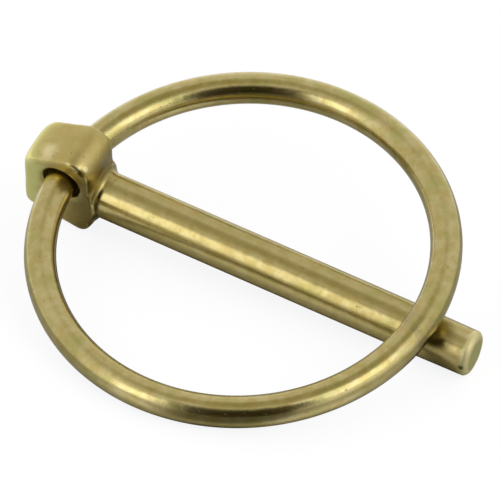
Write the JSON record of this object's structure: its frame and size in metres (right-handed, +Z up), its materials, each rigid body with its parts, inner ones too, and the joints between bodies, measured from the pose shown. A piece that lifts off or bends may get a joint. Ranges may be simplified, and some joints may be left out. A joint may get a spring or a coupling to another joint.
{
  "type": "lynch pin",
  "caption": "Lynch pin: a round shank with a crowned, flat-sided forged head, and a sprung wire ring that hinges in the head's cross hole and folds down over the shank.",
  "frame": {"origin": "on the shank's axis, at the root of its straight wall in front of the head", "axes": "+X towards the tip in plan, along the line that the shank points in, which dips 3 degrees to the tip; +Z up from the surface that the part lies on; +Y to the left of +X. The part lies as it comes to rest: on its head's underside, its tip and one side of its ring, rolled 14 degrees about the shank."},
  "size_m": [0.0466, 0.0395, 0.0118],
  "materials": {
    "plated_pin": "yellow-passivated zinc plating over forged steel",
    "plated_wire": "yellow-passivated zinc plating over drawn spring wire"
  },
  "bodies": {
    "pin": {"pin": "plated_pin"},
    "ring": {"ring": "plated_wire"}
  },
  "joints": [
    {"name": "ring_hinge", "type": "hinge", "parent": "pin", "child": "ring", "pos_m": [-0.00369, -0.00057, 0.0025], "axis": [-0.0107, -0.9719, -0.2353], "range_deg": [0, 345]}
  ]
}
